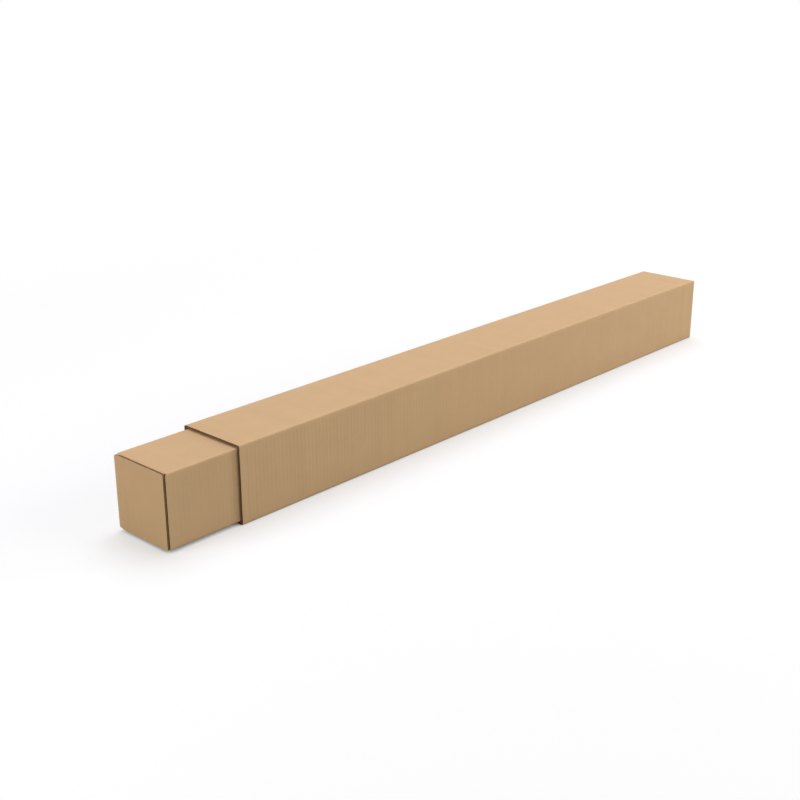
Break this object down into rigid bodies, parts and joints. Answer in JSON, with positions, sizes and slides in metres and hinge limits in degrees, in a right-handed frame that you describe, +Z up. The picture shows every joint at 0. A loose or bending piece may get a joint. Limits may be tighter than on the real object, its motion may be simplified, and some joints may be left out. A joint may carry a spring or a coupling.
{
  "type": "telescoping square mailing tube",
  "caption": "Long square mailing tube of plain kraft corrugated board: a closed inner tube slides in a slightly larger outer tube, to pack long things.",
  "frame": {"origin": "on the ground, under the middle of the whole length at rest and in the outer tube's middle plane", "axes": "+X along the tube from the inner tube's closed end to the outer tube's, +Z up, -Y is the side without the outer glue lap"},
  "size_m": [1.116, 0.1042, 0.1012],
  "materials": {
    "kraft_board": "matt kraft liner"
  },
  "bodies": {
    "outer": {"outer_tube": "kraft_board"},
    "inner": {"inner_tube": "kraft_board"}
  },
  "joints": [
    {"name": "inner_slide", "type": "slide", "parent": "outer", "child": "inner", "axis": [-1, 0, 0], "range_m": [-0.0995, 0.91]}
  ]
}
